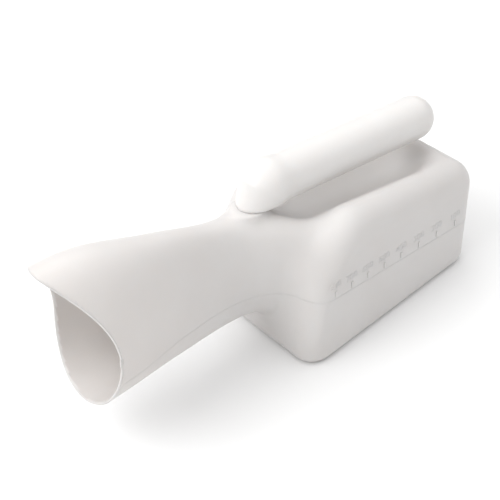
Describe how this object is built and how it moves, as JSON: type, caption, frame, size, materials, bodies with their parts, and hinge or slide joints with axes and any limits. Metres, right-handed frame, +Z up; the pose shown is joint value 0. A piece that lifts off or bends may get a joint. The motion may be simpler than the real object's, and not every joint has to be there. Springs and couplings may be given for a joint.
{
  "type": "female urine bottle",
  "caption": "Wide-mouthed female urine bottle that lies on a flat underside, with a pouring lip, a raised scale and a one-footed hollow grip over a finger recess.",
  "frame": {"origin": "centre of the flat underside that the bottle lies on", "axes": "+Z up out of the top, -X out of the mouth, +X towards the closed rear end, the scale faces -Y"},
  "size_m": [0.2787, 0.0965, 0.1306],
  "materials": {
    "bottle_plastic": "semi-gloss milky polyethylene",
    "grip_plastic": "semi-gloss white polyethylene"
  },
  "bodies": {
    "root": {"reservoir": "bottle_plastic", "spout": "bottle_plastic", "handle_socket": "bottle_plastic", "handle_grip": "grip_plastic", "scale_ticks": "bottle_plastic", "scale_numerals": "bottle_plastic", "parting_ridge": "bottle_plastic", "pinch_off": "bottle_plastic"}
  },
  "joints": []
}
